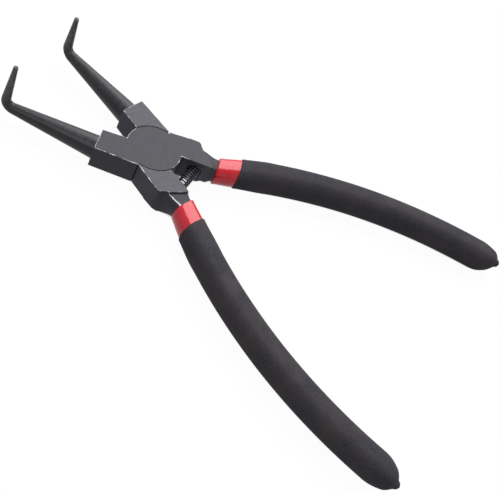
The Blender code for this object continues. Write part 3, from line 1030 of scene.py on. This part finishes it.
def make_camera():
    camera = bpy.data.objects.new("camera", bpy.data.cameras.new("camera"))
    bpy.context.scene.collection.objects.link(camera)
    turn = (Matrix.Rotation(CAMERA_AZIMUTH, 4, "Z")
            @ Matrix.Rotation(math.pi / 2 - CAMERA_ELEVATION, 4, "X")
            @ Matrix.Rotation(CAMERA_ROLL, 4, "Z"))
    back = turn.to_3x3() @ Vector((0, 0, 1))
    camera.matrix_world = Matrix.Translation(CAMERA_TARGET + back * CAMERA_DISTANCE) @ turn
    camera.data.lens = CAMERA_LENS
    camera.data.clip_start = CAMERA_CLIP_START
    bpy.context.scene.camera = camera


def make_lamp(lamp):
    """A square soft light, aimed at the middle of the tool."""
    data = bpy.data.lights.new(lamp.name, "AREA")
    data.size = lamp.size
    data.energy = lamp.power
    light = bpy.data.objects.new(lamp.name, data)
    bpy.context.scene.collection.objects.link(light)
    towards = lamp.direction.normalized()
    light.location = CAMERA_TARGET + towards * lamp.distance
    light.rotation_euler = towards.to_track_quat("Z", "Y").to_euler()


def make_world():
    """A room that is white to the eye and in reflections, apart from one side that reflects dark."""
    world = bpy.data.worlds.new("studio")
    bpy.context.scene.world = world
    world.use_nodes = True
    tree = world.node_tree
    background = tree.nodes["Background"]
    background.inputs["Color"].default_value = (1, 1, 1, 1)
    place = tree.nodes.new("ShaderNodeTexCoord").outputs["Generated"]
    facing = add_node(tree, "ShaderNodeVectorMath", {0: place, 1: DARK_SIDE.normalized()},
                      operation="DOT_PRODUCT").outputs["Value"]
    reflected = add_levels(tree, facing, DARK_SIDE_START, DARK_SIDE_FULL, 1.0, DARK_SIDE_LEVEL)
    glossy = tree.nodes.new("ShaderNodeLightPath").outputs["Is Glossy Ray"]
    level = add_levels(tree, glossy, first=ROOM_LEVEL, second=reflected)
    strength = one_for(tree, level, ("Is Camera Ray", "Is Transmission Ray"))
    tree.links.new(strength, background.inputs["Strength"])


def make_floor():
    """A pale floor that is white to the eye and keeps a faint shadow, with painted shade in narrow places.
    """
    bm = bmesh.new()
    corners = [(x * FLOOR_HALF_SIZE, y * FLOOR_HALF_SIZE, FLOOR_HEIGHT)
               for x, y in ((-1, -1), (1, -1), (1, 1), (-1, 1))]
    bm.faces.new([bm.verts.new(corner) for corner in corners])
    floor = new_object("floor", bm)
    material = bpy.data.materials.new("floor")
    material.use_nodes = True
    tree = material.node_tree
    seen = one_for(tree, 0.0, ("Is Camera Ray", "Is Glossy Ray", "Is Transmission Ray"))
    shader = tree.nodes["Principled BSDF"]
    shader.inputs["Roughness"].default_value = 1.0
    shader.inputs["Specular IOR Level"].default_value = 0.0
    colour = add_levels(tree, seen, first=FLOOR_BOUNCE, second=FLOOR_COLOUR)
    tree.links.new(colour, shader.inputs["Base Color"])
    # Painted shade: the glow fades where ambient occlusion finds narrow places, such as the notch between
    # the levers
    occlusion = add_node(tree, "ShaderNodeAmbientOcclusion", {"Distance": 2 * HEAD_THICKNESS},
                         samples=OCCLUSION_SAMPLES)
    glow_with_painted_shade = add_levels(tree, occlusion.outputs["AO"], PAINTED_SHADE_OCCLUSION, FULL_GLOW_OCCLUSION)
    glow = add_node(tree, "ShaderNodeEmission", {"Strength": glow_with_painted_shade})
    share = add_levels(tree, seen, second=1 - FLOOR_SHADOW)
    mixer = add_node(tree, "ShaderNodeMixShader", {0: share, 1: shader.outputs[0], 2: glow.outputs[0]})
    tree.links.new(mixer.outputs[0], tree.nodes["Material Output"].inputs["Surface"])
    dress(floor, (material,))


def ride(obj, body, node):
    """Hang a finished piece on its body in place of its CAD node."""
    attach(obj, body)
    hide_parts(node)


make_camera()
make_world()
make_floor()
for lamp in LAMPS:
    make_lamp(lamp)

forged = forged_steel()
worn = worn_steel("worn_edge", low=0.4, high=0.6, level=0.5)
# Partly wear and partly a painted highlight: the near-white line along the lower neck's round edge
bare_and_highlight = worn_steel("bare_edge_and_painted_highlight", low=0.3, high=0.45, level=0.65)
turned_finish = turned_steel()
red = red_dip()
black = black_dip()
ground_upper = ground_steel("ground_steel_upper", level=0.045, contrast=0.1, turn=math.radians(-118))
ground_lower = ground_steel("ground_steel_lower", level=0.072, contrast=0.28, turn=math.radians(-63))

for lever, ground in ((UPPER, ground_upper), (LOWER, ground_lower)):
    body = lever.name + "_body"
    forging = make_forging(lever, (forged, ground, worn, bare_and_highlight, turned_finish))
    ride(forging, body, lever.name)
    ride(make_dip(lever, red), body, lever.name + "_inner_dip")
    ride(make_grip(lever, black), body, lever.name + "_grip")

rivet = turned("pivot_rivet_flush", rivet_profile(0, 0), ROUND_SIDES)
dress(rivet, (ground_upper,))
shade(rivet, STEEL_SHARP_ANGLE)
ride(rivet, "upper_lever_body", "pivot_rivet")

spring = loft("return_spring_coil", spring_rings())
dress(spring, (spring_steel(),))
shade(spring, SOFT_SHARP_ANGLE)
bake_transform(spring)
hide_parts("return_spring")

bpy.context.scene.view_settings.view_transform = "Standard"
